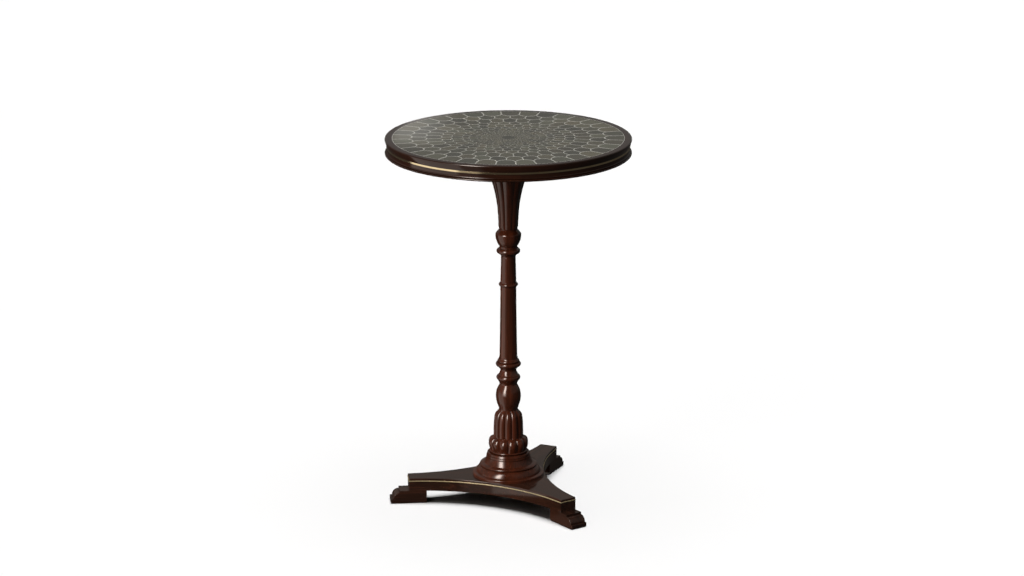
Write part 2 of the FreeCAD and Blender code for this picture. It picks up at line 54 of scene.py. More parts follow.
# %% [markdown]
# ## The camera
# The picture was taken with a long lens from about eleven metres away and from above table height, so the
# table hardly narrows towards the floor. A camera that stands in the same place gives the same ellipses of
# the top and the plinth. Its place is found from those ellipses, and it looks straight along its own axis,
# without shift.

# %% Place the camera
camera_place = Vector((-1.1143, -11.0589, 3.7125))
camera_turn = math.radians(-5.809)
camera_dip = math.radians(15.415)
camera_lens = 137.88
camera_sight = 500.0

bpy.ops.object.select_all(action="DESELECT")
bpy.ops.object.camera_add(location=camera_place, rotation=(math.pi / 2 - camera_dip, 0, camera_turn))
camera = bpy.context.object
camera.name = "studio_camera"
camera.data.lens = camera_lens
camera.data.clip_end = camera_sight
bpy.context.scene.camera = camera
print("camera", [round(value, 3) for value in camera.location])

# %% [markdown]
# ## A small kit for node trees
# Materials and the studio are node trees. Two short helpers keep each tree readable: one adds a node and
# fills or links its inputs, the other joins two values by a sum, product or power.

# %% Node helpers
def add_node(tree, kind, inputs=None, **settings):
    """Add a node, set its properties, and fill or link its inputs by name or number."""
    node = tree.nodes.new(kind)
    for key, value in settings.items():
        setattr(node, key, value)
    for key, value in (inputs or {}).items():
        if isinstance(value, bpy.types.NodeSocket):
            tree.links.new(value, node.inputs[key])
        else:
            node.inputs[key].default_value = value
    return node


def reckon(tree, operation, first, second=0.0):
    """A number worked out from one or two others."""
    return add_node(tree, "ShaderNodeMath", {0: first, 1: second}, operation=operation).outputs[0]


def rise(tree, value, low, high, low_result=0.0, high_result=1.0):
    """A soft step from one result to another while a value climbs from low to high."""
    inputs = {"Value": value, "From Min": low, "From Max": high, "To Min": low_result, "To Max": high_result}
    return add_node(tree, "ShaderNodeMapRange", inputs, interpolation_type="SMOOTHSTEP").outputs[0]


print("node helpers ready")

# %% [markdown]
# ## The floor
# A plain pale floor carries the soft pool of shade under the plinth and the dark line where the feet stand.
# The floor's lamp casts part of that shade, and the rest is painted into the floor's colour: an occlusion
# term paints shade close to the plinth and feet, and the floor is painted a little darker near the table.
# It reaches far behind the table, so it fills the picture. The lacquer in the picture shows a dim studio
# rather than a white floor, so the floor is left out of reflections.

# %% Lay the floor
floor_reach = 160.0
floor_rim = 0.5
contact_reach = 90 * mm
contact_openness = (0.08, 0.5)
painted_contact_levels = (0.12, 0.95)
painted_pool_distances = (0.3, 1.0)
painted_pool_levels = (0.962, 1.0)
bpy.ops.object.select_all(action="DESELECT")
bpy.ops.mesh.primitive_circle_add(vertices=96, radius=floor_reach, fill_type="NGON")
floor = bpy.context.object
floor.name = "studio_floor"
bpy.ops.object.mode_set(mode="EDIT")
bpy.ops.mesh.select_all(action="SELECT")
bpy.ops.mesh.inset(thickness=floor_reach * floor_rim)
bpy.ops.object.mode_set(mode="OBJECT")
floor.visible_glossy = False
floor.visible_diffuse = False
floor_paint = bpy.data.materials.new("floor_paint")
floor_paint.use_nodes = True
floor_shader = floor_paint.node_tree.nodes["Principled BSDF"]
floor_tree = floor_paint.node_tree
# Painted shade: an occlusion term darkens the floor close to the plinth and feet, and a distance ramp darkens
# it a little near the table.
contact = add_node(floor_tree, "ShaderNodeAmbientOcclusion", {"Distance": contact_reach}, samples=8)
painted_contact_shade = rise(floor_tree, contact.outputs["AO"], *contact_openness, *painted_contact_levels)
floor_place = add_node(floor_tree, "ShaderNodeTexCoord").outputs["Object"]
away = add_node(floor_tree, "ShaderNodeVectorMath", {0: floor_place}, operation="LENGTH").outputs["Value"]
level = reckon(floor_tree, "MULTIPLY", painted_contact_shade, rise(floor_tree, away, *painted_pool_distances, *painted_pool_levels))
floor_grey = add_node(floor_tree, "ShaderNodeCombineColor", {0: level, 1: level, 2: level})
floor_tree.links.new(floor_grey.outputs[0], floor_shader.inputs["Base Color"])
floor_shader.inputs["Roughness"].default_value = 1.0
floor_shader.inputs["Specular IOR Level"].default_value = 0.0
floor.data.materials.append(floor_paint)
print("floor radius", floor_reach)

# %% [markdown]
# ## The studio light
# Every turned ring of the column mirrors the room, so the room is painted into the world by direction: a
# tall softbox in front on the left, a broad pale wall further left that reaches low, and a dim grey on the
# right and behind. The even light that the floor and the wood's own colour need comes from lamps, below.

# %% Paint the studio into the world
world = bpy.data.worlds.new("studio_world")
bpy.context.scene.world = world
world.use_nodes = True
sky = world.node_tree
sky.nodes.clear()
degree = math.radians(1)
sight = add_node(sky, "ShaderNodeTexCoord").outputs["Generated"]
facing = add_node(sky, "ShaderNodeMapping", {"Vector": sight, "Rotation": (0, 0, -camera_turn)})
facing_axes = add_node(sky, "ShaderNodeSeparateXYZ", {0: facing.outputs[0]}).outputs
sky_turn = reckon(sky, "ARCTAN2", facing_axes["X"], reckon(sky, "MULTIPLY", facing_axes["Y"], -1.0))
sky_height = reckon(sky, "ARCSINE", facing_axes["Z"])


def soft_edge(value, place, softness, before, after):
    """A soft change from one level to another at a turn or height in degrees."""
    return rise(sky, value, (place - softness) * degree, (place + softness) * degree, before, after)


def lit_patch(turns, heights, turn_edge, height_edge, strength):
    """Radiance of a soft-edged patch between two turns from the camera and two heights, in degrees."""
    left = soft_edge(sky_turn, turns[0], turn_edge, 0.0, 1.0)
    right = soft_edge(sky_turn, turns[1], turn_edge, 1.0, 0.0)
    low = soft_edge(sky_height, heights[0], height_edge, 0.0, 1.0)
    high = soft_edge(sky_height, heights[1], height_edge, 1.0, 0.0)
    across = reckon(sky, "MULTIPLY", left, right)
    along = reckon(sky, "MULTIPLY", low, high)
    return reckon(sky, "MULTIPLY", reckon(sky, "MULTIPLY", across, along), strength)


def add_all(tree, values):
    """The sum of several numbers."""
    total = values[0]
    for value in values[1:]:
        total = reckon(tree, "ADD", total, value)
    return total


# The softbox is a wide glow and a bright core. The walls are, in turn, low on the left, low in front, high on
# the left, on the right, and behind on either side.
softbox = add_all(sky, [lit_patch((-55, -21), (-4, 58), 9, 8, 2.6),
                        lit_patch((-46, -29), (6, 50), 6, 12, 18.0)])
walls = add_all(sky, [lit_patch((-104, -48), (-56, 2), 2, 10, 0.97),
                      lit_patch((-48, -27), (-50, 2), 4, 10, 0.25),
                      lit_patch((-120, -52), (0, 60), 12, 15, 0.22),
                      lit_patch((25, 125), (6, 55), 12, 8, 0.14),
                      lit_patch((120, 240), (2, 28), 20, 6, 0.14),
                      lit_patch((-240, -120), (2, 28), 20, 6, 0.14)])
room_level = 0.045
matt_share = 0.05
softbox_tint = (1.0, 0.88, 0.8, 1)
room_tint = (1.0, 0.92, 0.84, 1)
path = add_node(sky, "ShaderNodeLightPath").outputs
seen = reckon(sky, "MAXIMUM", path["Is Camera Ray"],
              reckon(sky, "MAXIMUM", path["Is Glossy Ray"], path["Is Transmission Ray"]))
share = rise(sky, seen, 0.0, 1.0, matt_share, 1.0)
warm_level = reckon(sky, "MULTIPLY", softbox, share)
plain_level = reckon(sky, "MULTIPLY", reckon(sky, "ADD", walls, room_level), share)
warm = add_node(sky, "ShaderNodeBackground", {"Color": softbox_tint, "Strength": warm_level})
plain = add_node(sky, "ShaderNodeBackground", {"Color": room_tint, "Strength": plain_level})
both = add_node(sky, "ShaderNodeAddShader", {0: warm.outputs[0], 1: plain.outputs[0]})
sky.links.new(both.outputs[0], add_node(sky, "ShaderNodeOutputWorld").inputs["Surface"])
print("studio patches painted")

# %% [markdown]
# Four lamps light the matt colours, and none of them shows in the lacquer. The floor has an overhead lamp of
# its own, because the picture's floor is much brighter than the wood and shows no slanting shadow. Only the
# plinth and the feet shade it. The other three lamps leave the floor out: an overhead one, a key light on
# the left and a weak fill on the right.

# %% Hang the lamps
floor_only = bpy.data.collections.new("floor_only")
floor_only.objects.link(floor)
floor_left_out = bpy.data.collections.new("floor_left_out")
floor_left_out.objects.link(floor)
floor_left_out.collection_objects[0].light_linking.link_state = "EXCLUDE"
low_pieces = bpy.data.collections.new("low_pieces")
for name in ("plinth_body", "plinth_slab", "foot_left", "foot_front", "foot_back", "foot_pads"):
    low_pieces.objects.link(nodes[name])
lamp_place = 4.0


def hang_lamp(name, turn_from_camera, lamp_height, level, spread, receivers, blockers=None):
    """A broad lamp that shines on the table from a turn and height in degrees."""
    bpy.ops.object.select_all(action="DESELECT")
    aim = ((90 - lamp_height) * degree, 0, camera_turn + turn_from_camera * degree)
    bpy.ops.object.light_add(type="SUN", location=(0, 0, lamp_place), rotation=aim)
    lamp = bpy.context.object
    lamp.name = name
    lamp.data.energy = level * math.pi
    lamp.data.angle = spread * degree
    lamp.visible_glossy = False
    lamp.light_linking.receiver_collection = receivers
    lamp.light_linking.blocker_collection = blockers
    print(name, round(lamp.data.energy, 2))


hang_lamp("floor_light", 0, 90, 1.03, 40, floor_only, low_pieces)
hang_lamp("overhead_light", 0, 90, 0.5, 104, floor_left_out)
hang_lamp("key_light", -50, 22, 1.3, 50, floor_left_out)
hang_lamp("fill_light", 62, 15, 0.02, 70, floor_left_out)

# %% [markdown]
# The flat top mirrors what stands low behind the table. In the picture that is a dim grey, which the plinth
# does not show because its mirror line runs under it, and which has one brighter patch on the left. A large
# glowing sheet behind the table, with its lower edge above that line, does the same. Only reflections see it.

# %% Stand a dim sheet behind the table
sheet_distance = 3.2
sheet_low = 1.3
sheet_high = 4.3
sheet_width = 9.0
sheet_level = 0.215
sheet_glow = 0.34
glow_heights = (1.827, 1.9)
sheet_tint = (1.0, 0.98, 0.93, 1)
bpy.ops.object.select_all(action="DESELECT")
bpy.ops.mesh.primitive_plane_add(size=1, location=(0, sheet_distance, (sheet_low + sheet_high) / 2),
                                 rotation=(math.pi / 2, 0, 0))
sheet = bpy.context.object
sheet.name = "back_sheet"
sheet.scale = (sheet_width, sheet_high - sheet_low, 1)
bpy.ops.object.transform_apply(location=True, rotation=True, scale=True)
sheet.visible_camera = False
sheet.visible_diffuse = False
sheet.visible_shadow = False
sheet_paint = bpy.data.materials.new("sheet_paint")
sheet_paint.use_nodes = True
sheet_tree = sheet_paint.node_tree
sheet_tree.nodes.clear()
spot = add_node(sheet_tree, "ShaderNodeTexCoord").outputs["Object"]
spot_axes = add_node(sheet_tree, "ShaderNodeSeparateXYZ", {0: spot}).outputs
leftwards = reckon(sheet_tree, "MULTIPLY", rise(sheet_tree, spot_axes["X"], -0.14, -0.08),
                   rise(sheet_tree, spot_axes["X"], -0.05, 0.16, 1.0, 0.0))
downwards = rise(sheet_tree, spot_axes["Z"], *glow_heights, sheet_glow, 0.0)
sheet_light = reckon(sheet_tree, "ADD", reckon(sheet_tree, "MULTIPLY", leftwards, downwards), sheet_level)
glow = add_node(sheet_tree, "ShaderNodeEmission", {"Color": sheet_tint, "Strength": sheet_light})
sheet_tree.links.new(glow.outputs[0], add_node(sheet_tree, "ShaderNodeOutputMaterial").inputs["Surface"])
sheet.data.materials.append(sheet_paint)
print("sheet from", sheet_low, "to", sheet_high)

# %% [markdown]
# The floor under the plinth lies in deep shade, and the lacquered inner ends of the feet show that shade.
# The bright floor is left out of reflections, so a black round close to the floor stands in for the shade.
# Only reflections see it.

# %% Lay a dark round under the plinth
shade_radius = 230 * mm
bpy.ops.object.select_all(action="DESELECT")
bpy.ops.mesh.primitive_circle_add(vertices=48, radius=shade_radius, fill_type="NGON", location=(0, 0, mm))
shade = bpy.context.object
shade.name = "plinth_shade"
shade.visible_camera = False
shade.visible_diffuse = False
shade.visible_shadow = False
black_paint = bpy.data.materials.new("black_paint")
black_paint.use_nodes = True
black_shader = black_paint.node_tree.nodes["Principled BSDF"]
black_shader.inputs["Base Color"].default_value = (0.0, 0.0, 0.0, 1)
black_shader.inputs["Specular IOR Level"].default_value = 0.0
shade.data.materials.append(black_paint)
print("shade radius", shade_radius)

# %% [markdown]
# ## Lacquered mahogany
# The wood is dark, reddish mahogany under a clear polished lacquer. Close to, it shows broad bands of
# figure, fine fibres and short open pores, all drawn out along the grain. Noise that is stretched along the
# grain gives all three, and a clear coat over the shader gives the polish without blurring the grain.
# An occlusion term paints shade into the carved grooves: it darkens their colour and thins the coat there,
# which dims their reflections.

# %% Follow the grain
grain_stretch = 0.04
arm_pitch = math.radians(120)
rim_sections = 6


def grain_along_column(tree, place):
    """Grain that runs up a turned piece."""
    return add_node(tree, "ShaderNodeMapping", {"Vector": place, "Scale": (1, 1, grain_stretch)}).outputs[0]


def polar(tree, place, zero_x, zero_y):
    """Angle and radius round the table's axis, with the angle's seam opposite a given direction."""
    axes = add_node(tree, "ShaderNodeSeparateXYZ", {0: place}).outputs
    along = reckon(tree, "ADD", reckon(tree, "MULTIPLY", axes["X"], zero_x),
                   reckon(tree, "MULTIPLY", axes["Y"], zero_y))
    across = reckon(tree, "SUBTRACT", reckon(tree, "MULTIPLY", axes["Y"], zero_x),
                    reckon(tree, "MULTIPLY", axes["X"], zero_y))
    radius = reckon(tree, "SQRT", reckon(tree, "ADD", reckon(tree, "MULTIPLY", axes["X"], axes["X"]),
                                         reckon(tree, "MULTIPLY", axes["Y"], axes["Y"])))
    return reckon(tree, "ARCTAN2", across, along), radius, axes["Z"]


def grain_round_rim(tree, place):
    """Grain that follows the rim, which is built up from curved lengths that meet end to end."""
    angle, radius, up = polar(tree, place, 0, -1)
    length = reckon(tree, "FLOOR", reckon(tree, "MULTIPLY", angle, rim_sections / (2 * math.pi)))
    along = reckon(tree, "MULTIPLY", reckon(tree, "MULTIPLY", angle, radius), grain_stretch)
    shifted = reckon(tree, "ADD", along, length)
    return add_node(tree, "ShaderNodeCombineXYZ", {"X": radius, "Y": up, "Z": shifted}).outputs[0]


def grain_along_arms(tree, place):
    """Grain that runs out along each of the plinth's three arms, which meet on mitred lines."""
    angle, radius, up = polar(tree, place, -1, 0)
    arm = reckon(tree, "ROUND", reckon(tree, "DIVIDE", angle, arm_pitch))
    off_arm = reckon(tree, "SUBTRACT", angle, reckon(tree, "MULTIPLY", arm, arm_pitch))
    out = reckon(tree, "MULTIPLY", radius, reckon(tree, "COSINE", off_arm))
    side = reckon(tree, "MULTIPLY", radius, reckon(tree, "SINE", off_arm))
    along = reckon(tree, "ADD", reckon(tree, "MULTIPLY", out, grain_stretch), arm)
    return add_node(tree, "ShaderNodeCombineXYZ", {"X": side, "Y": up, "Z": along}).outputs[0]


print("grain directions ready")

# %% Mix the mahogany
figure_scale = 22.0
fibre_scale = 330.0
pore_scale = 1500.0
streak_scale = 95.0
pore_depth = 0.1 * mm
crevice_reach = 12 * mm
column_shades = ((0.029, 0.0074, 0.003, 1), (0.056, 0.0134, 0.0057, 1), (0.095, 0.0198, 0.0079, 1))
rim_shades = ((0.011, 0.0038, 0.0018, 1), (0.021, 0.0065, 0.0031, 1), (0.037, 0.01, 0.0044, 1))
board_shades = ((0.013, 0.0054, 0.0032, 1), (0.029, 0.0108, 0.0062, 1), (0.051, 0.0164, 0.0085, 1))


def new_material(name):
    """An empty node material and its shader."""
    material = bpy.data.materials.new(name)
    material.use_nodes = True
    return material, material.node_tree, material.node_tree.nodes["Principled BSDF"]


def noise(tree, vector, scale, detail, roughness=0.5, distortion=0.0):
    inputs = {"Vector": vector, "Scale": scale, "Detail": detail, "Roughness": roughness,
              "Distortion": distortion}
    return add_node(tree, "ShaderNodeTexNoise", inputs).outputs["Fac"]


def blend_colours(tree, factor, first, second, blend_type="MIX"):
    mix = add_node(tree, "ShaderNodeMix", data_type="RGBA", blend_type=blend_type)
    for slot, value in ((0, factor), (6, first), (7, second)):
        if isinstance(value, bpy.types.NodeSocket):
            tree.links.new(value, mix.inputs[slot])
        else:
            mix.inputs[slot].default_value = value
    return mix.outputs[2]


def mahogany(name, follow_grain, shades):
    """Polished mahogany whose figure, fibres and pores follow the grain of one kind of piece."""
    deep_brown, middle_brown, red_brown = shades
    material, tree, shader = new_material(name)
    place = add_node(tree, "ShaderNodeTexCoord").outputs["Object"]
    grain = follow_grain(tree, place)
    figure = rise(tree, noise(tree, grain, figure_scale, 4, 0.55, 0.8), 0.3, 0.72)
    streak = rise(tree, noise(tree, grain, streak_scale, 3, 0.6, 0.4), 0.45, 0.75, 0.0, 0.5)
    fibre = noise(tree, grain, fibre_scale, 3, 0.6)
    pores = rise(tree, noise(tree, grain, pore_scale, 1), 0.56, 0.7)
    colour = blend_colours(tree, figure, deep_brown, middle_brown)
    colour = blend_colours(tree, streak, colour, red_brown)
    colour = blend_colours(tree, rise(tree, fibre, 0.42, 0.8, 0.0, 0.4), colour, red_brown)
    colour = blend_colours(tree, reckon(tree, "MULTIPLY", pores, 0.35), colour, deep_brown)
    # Painted shade: the occlusion term darkens the colour in carved grooves and thins their coat.
    crevice = add_node(tree, "ShaderNodeAmbientOcclusion", {"Distance": crevice_reach}, samples=6,
                       only_local=True)
    painted_groove_shade = rise(tree, crevice.outputs["AO"], 0.35, 0.97, 0.9, 0.0)
    colour = blend_colours(tree, painted_groove_shade, colour, deep_brown)
    tree.links.new(colour, shader.inputs["Base Color"])
    tree.links.new(rise(tree, fibre, 0.3, 0.7, 0.34, 0.5), shader.inputs["Roughness"])
    bump = add_node(tree, "ShaderNodeBump", {"Height": pores, "Strength": 0.25, "Distance": pore_depth},
                    invert=True)
    tree.links.new(bump.outputs[0], shader.inputs["Normal"])
    shader.inputs["Specular IOR Level"].default_value = 0.0
    tree.links.new(rise(tree, crevice.outputs["AO"], 0.45, 0.85, 0.1, 1.0), shader.inputs["Coat Weight"])
    shader.inputs["Coat Roughness"].default_value = 0.1
    return material


column_mahogany = mahogany("column_mahogany", grain_along_column, column_shades)
rim_mahogany = mahogany("rim_mahogany", grain_round_rim, rim_shades)
plinth_mahogany = mahogany("plinth_mahogany", grain_along_arms, board_shades)
print("mahogany mixed for column, rim and plinth")

# %% [markdown]
# ## Brass
# Thin brass strings run round the waist of the top and under the plinth's slab. Brass that is drawn and
# polished keeps fine lines along its length and a faint, uneven tarnish, so its roughness and colour vary
# a little and nothing else does. The plinth's string is rubbed flat and duller than the rim's.

# %% Mix the brass
bright_brass = (0.87, 0.74, 0.48, 1)
aged_brass = (0.62, 0.47, 0.26, 1)
dull_brass = (0.34, 0.27, 0.15, 1)
brown_brass = (0.26, 0.2, 0.11, 1)
drawn_scale = 900.0
tarnish_scale = 26.0


def polished_brass(name, follow_grain, bright, aged, smoothest, metallic=1.0, roundness=1.0):
    """Brass with fine lines along its length and a little tarnish. A low roundness rubs its face flat."""
    material, tree, shader = new_material(name)
    place = add_node(tree, "ShaderNodeTexCoord").outputs["Object"]
    drawn = noise(tree, follow_grain(tree, place), drawn_scale, 2)
    tarnish = rise(tree, noise(tree, place, tarnish_scale, 4, 0.6), 0.45, 0.75, 0.0, 0.45)
    tree.links.new(blend_colours(tree, tarnish, bright, aged), shader.inputs["Base Color"])
    tree.links.new(rise(tree, drawn, 0.3, 0.7, smoothest, 2 * smoothest), shader.inputs["Roughness"])
    shader.inputs["Metallic"].default_value = metallic
    outwards = add_node(tree, "ShaderNodeNewGeometry").outputs["Normal"]
    level = add_node(tree, "ShaderNodeVectorMath", {0: outwards, 1: (1, 1, roundness)}, operation="MULTIPLY")
    flat = add_node(tree, "ShaderNodeVectorMath", {0: level.outputs[0]}, operation="NORMALIZE")
    tree.links.new(flat.outputs[0], shader.inputs["Normal"])
    return material


rim_brass = polished_brass("rim_brass", grain_round_rim, bright_brass, aged_brass, 0.08)
plinth_brass = polished_brass("plinth_brass", grain_along_arms, dull_brass, brown_brass, 0.24, 0.2, 0.6)
print("brass mixed for rim and plinth")

# %% [markdown]
# ## Plain hidden finishes
# Felt pads, steel fasteners and the core board are seen only from below or when the table is taken apart.
# Each still gets its own small-scale detail: loose fibres on the felt, a matt zinc bloom on the steel and
# the cloudy dust of pressed board on the core. The backing under the top is stained dark to match the wood.

# %% Mix the hidden finishes
def speckled(name, dark, light, scale, roughness, metallic=0.0, bump_depth=0.0):
    """A matt finish mottled between two colours."""
    material, tree, shader = new_material(name)
    place = add_node(tree, "ShaderNodeTexCoord").outputs["Object"]
    mottle = noise(tree, place, scale, 5, 0.65)
    colour = blend_colours(tree, rise(tree, mottle, 0.3, 0.7), dark, light)
    tree.links.new(colour, shader.inputs["Base Color"])
    polish = rise(tree, mottle, 0.3, 0.7, roughness - 0.08, roughness + 0.08)
    tree.links.new(polish, shader.inputs["Roughness"])
    shader.inputs["Metallic"].default_value = metallic
    if bump_depth:
        bump = add_node(tree, "ShaderNodeBump", {"Height": mottle, "Strength": 0.6, "Distance": bump_depth})
        tree.links.new(bump.outputs[0], shader.inputs["Normal"])
    return material


felt = speckled("brown_felt", (0.02, 0.013, 0.009, 1), (0.05, 0.034, 0.024, 1), 900, 0.9, bump_depth=0.4 * mm)
zinc_steel = speckled("zinc_steel", (0.42, 0.43, 0.44, 1), (0.62, 0.63, 0.64, 1), 220, 0.38, metallic=1.0)
pressed_board = speckled("pressed_board", (0.22, 0.14, 0.075, 1), (0.34, 0.23, 0.13, 1), 420, 0.8)
stained_board = speckled("stained_board", (0.012, 0.006, 0.004, 1), (0.03, 0.014, 0.009, 1), 60, 0.55)
print("felt, steel and board mixed")

# %% [markdown]
# ## Dressing the solids
# Each solid keeps its mesh and takes the finish of its place on the table. Its slots take the new finish,
# and its name says which way its grain runs. The ring round the inlay waits for the inlay's own metal.

# %% Dress the solids
finishes = {
    "column_mahogany": (column_mahogany, ("socle", "gadroon_cushion", "reeded_drum", "urn", "lower_knop",
                                          "upper_knop", "lower_shaft", "shaft_bead", "upper_shaft", "cup",
                                          "capital", "top_block")),
    "rim_mahogany": (rim_mahogany, ("apron_moulding", "rim_moulding")),
    "plinth_mahogany": (plinth_mahogany, ("plinth_body", "plinth_slab", "foot_left", "foot_front",
                                          "foot_back")),
    "rim_brass": (rim_brass, ("rim_band",)),
    "plinth_brass": (plinth_brass, ("plinth_band",)),
    "felt": (felt, ("foot_pads",)),
    "zinc_steel": (zinc_steel, ("foot_screws", "tie_rod", "tie_rod_nuts", "tie_rod_washers",
                                "top_block_screws")),
    "pressed_board": (pressed_board, ("top_core",)),
    "stained_board": (stained_board, ("backing_board",)),
}
for finish, (material, names) in finishes.items():
    for name in names:
        for slot in nodes[name].material_slots:
            slot.material = material
    print(finish, "on", ", ".join(names))

# %% [markdown]
# ## The turned socle
# The foot of the column is turned on a lathe: a plate, a round-shouldered swell, a lip that overhangs a fine
# quirk, a sloping bell with two flat rings above it, and a bead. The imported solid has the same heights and
# widths with blunter edges, so the crisp turning is cut here. As on a lathe, one half of the section is drawn
# from point to point, with bows where an edge is rounded, and is then spun once round the axis. The section
# also runs down inside, along the socket for the piece above and the bore for the rod.

# %% Draw the socle's section
socle_low_corner, socle_high_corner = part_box("socle")
socle_height = (socle_high_corner.z - socle_low_corner.z) / mm
rod_bore = 6.5
socket_bore = 13.3
socket_depth = 10.3
bow_steps = 9
socle_turns = [(106.0, 0.0, 0.0), (106.0, 5.0, 0.0), (103.6, 8.2, 0.9), (95.4, 10.0, 0.0), (83.8, 28.2, 2.3),
               (82.6, 28.5, 0.0), (82.6, 29.4, 0.0), (83.6, 34.4, 2.2), (73.8, 36.4, 0.0), (71.2, 38.6, -0.6),
               (65.6, 54.4, -0.4), (64.2, 54.9, 0.0), (64.2, 55.8, 0.0), (65.6, 56.4, 0.0), (64.6, 61.3, 0.0),
               (63.0, 61.8, 0.0), (63.0, 62.6, 0.0), (63.8, 63.1, 0.0), (62.6, 67.4, 0.0), (60.8, 69.2, 0.5),
               (53.4, 69.2, 0.0), (53.4, 70.2, 0.0), (53.4, socle_height, 3.2),
               (socket_bore, socle_height, 0.0), (socket_bore, socle_height - socket_depth, 0.0),
               (rod_bore, socle_height - socket_depth, 0.0), (rod_bore, 0.0, 0.0)]


def bowed(start, end, swell):
    """Points from one place to another along a line, or along a bow that swells outwards from it."""
    if not swell:
        return [end]
    across = Vector((end.z - start.z, 0, start.x - end.x)).normalized()
    shares = [step / bow_steps for step in range(1, bow_steps + 1)]
    return [start.lerp(end, share) + across * swell * mm * 4 * share * (1 - share) for share in shares]


def draw_section(turns, base):
    """Half a section in metres from radii, heights over a base and swells, all in millimetres."""
    section = []
    for radius, height, swell in turns:
        place = Vector((radius * mm, 0, base + height * mm))
        section += bowed(section[-1], place, swell) if section else [place]
    return section


socle_section = draw_section(socle_turns, socle_low_corner.z)
print("points in the socle's section", len(socle_section), "height", round(socle_height, 2))

# %% Turn the socle
socle_steps = 120
crease_angle = math.radians(35)


def turn_on_lathe(name, section, steps, material):
    """Draw a closed section point by point and spin it once round the table's axis."""
    bpy.ops.object.select_all(action="DESELECT")
    bpy.ops.mesh.primitive_plane_add(size=mm)
    piece = bpy.context.object
    piece.name = name
    bpy.ops.object.mode_set(mode="EDIT")
    bpy.ops.mesh.select_mode(type="VERT")
    bpy.ops.mesh.select_all(action="SELECT")
    bpy.ops.mesh.merge(type="CENTER")
    bpy.ops.transform.translate(value=section[0])
    for start, end in zip(section, section[1:] + section[:1]):
        bpy.ops.mesh.extrude_region_move(TRANSFORM_OT_translate={"value": end - start})
    bpy.ops.mesh.select_all(action="SELECT")
    bpy.ops.mesh.spin(steps=steps, angle=2 * math.pi, center=(0, 0, 0), axis=(0, 0, 1))
    bpy.ops.mesh.select_all(action="SELECT")
    bpy.ops.mesh.remove_doubles(threshold=0.01 * mm)
    bpy.ops.mesh.normals_make_consistent(inside=False)
    bpy.ops.object.mode_set(mode="OBJECT")
    bpy.ops.object.shade_smooth_by_angle(angle=crease_angle)
    piece.data.materials.append(material)
    print(name, "faces", len(piece.data.polygons))
    return piece


turned_socle = turn_on_lathe("turned_socle", socle_section, socle_steps, column_mahogany)
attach(turned_socle, "root")
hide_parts("socle")

# %% [markdown]
# ## The rim of the top
# In the picture the edge of the top draws in to a waist between its upper edge and its lower lip, and the
# brass string lies at the bottom of it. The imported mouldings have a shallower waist, so the three rings are
# turned again here with the deeper one: the upper moulding with its undercut flank, the lower one with its
# lip, bead and rebate, and the string that lies in the rebate. Their outer edges and heights stay as packed.

# %% Turn the rim
top_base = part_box("apron_moulding")[0].z
rim_high_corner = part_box("rim_moulding")[1]
top_edge = rim_high_corner.x / mm
top_height = (rim_high_corner.z - top_base) / mm
ring_bore = 330.0
panel_seat = 338.6
panel_seat_depth = 4.0
edge_round = 3.2
edge_bow = 0.93
waist = top_edge - 5.0
string_seat = waist - 3.0
string_face = waist + 0.4
string_low = 21.4
string_high = 26.4
lip_height = 5.8
lip_bow = 2.4
bead_low = 6.5
bead_high = 10.9
bead_bow = 1.3
seat_height = top_height - panel_seat_depth
rim_turns = [(waist, string_high, 0.0), (top_edge, top_height - edge_round, 0.0),
             (top_edge - edge_round, top_height, edge_bow), (panel_seat, top_height, 0.0),
             (panel_seat, seat_height, 0.0), (ring_bore, seat_height, 0.0), (ring_bore, string_high, 0.0)]
apron_turns = [(top_edge - lip_bow, 0.0, 0.0), (top_edge - lip_bow, lip_height, lip_bow),
               (waist, lip_height, 0.0), (waist, bead_low, 0.0), (waist, bead_high, bead_bow),
               (waist, string_low, 0.0), (string_seat, string_low, 0.0), (string_seat, string_high, 0.0),
               (ring_bore, string_high, 0.0), (ring_bore, 0.0, 0.0)]
string_turns = [(string_face, string_low, 0.0), (string_face, string_high, 0.0),
                (string_seat, string_high, 0.0), (string_seat, string_low, 0.0)]
rim_steps = 192
for name, turns, material, replaced, slot in (
        ("turned_rim", rim_turns, rim_mahogany, "rim_moulding", "mahogany"),
        ("turned_apron", apron_turns, rim_mahogany, "apron_moulding", "mahogany"),
        ("turned_string", string_turns, rim_brass, "rim_band", "metal_band")):
    piece = turn_on_lathe(name, draw_section(turns, top_base), rim_steps, material)
    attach(piece, "root")
    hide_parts(replaced)

# %% [markdown]
# ## The fish-scale inlay
# The top is a sunburst of thirty-six scales to the ring. Each scale has straight sides on radial lines and a
# round end that points to the centre, and every ring is set half a scale round from its neighbours and
# slips under the ring outside it, as tiles do on a roof. One scale of each ring is modelled from a circle:
# half of it is cut off, the cut edge is drawn outwards, and an inset leaves the pale metal string along its
# border. An array turned about the table's axis then repeats it.

# %% Measure the panel
panel_low_corner, panel_high_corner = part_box("scale_panel")
panel_radius = panel_high_corner.x
panel_top = panel_high_corner.z
scale_count = 36
scale_pitch = 2 * math.pi / scale_count
ring_count = 15
first_end = 278.3 * mm
ring_ratio = 0.829
odd_ring_ratio = 1.026
first_side_angle = math.radians(-1.93)
string_share = 0.0105
fine_string_share = 0.0075
coarse_rings = 6
round_points = 28
border_overrun = 1.03
lap_overrun = 1.02
lap_step = 0.015 * mm
tile_depth = 0.5 * mm
print("panel radius", round(panel_radius, 4), "top", round(panel_top, 4))


# %% Work out the rings
def ring_end(index):
    """Radius at which a ring's round ends point to the centre."""
    return first_end * ring_ratio ** index * (odd_ring_ratio if index % 2 else 1)


def round_centre(index):
    """Radius of the centre of a ring's round ends, which touch their neighbours' sides."""
    return ring_end(index) / (1 - math.tan(scale_pitch / 2))


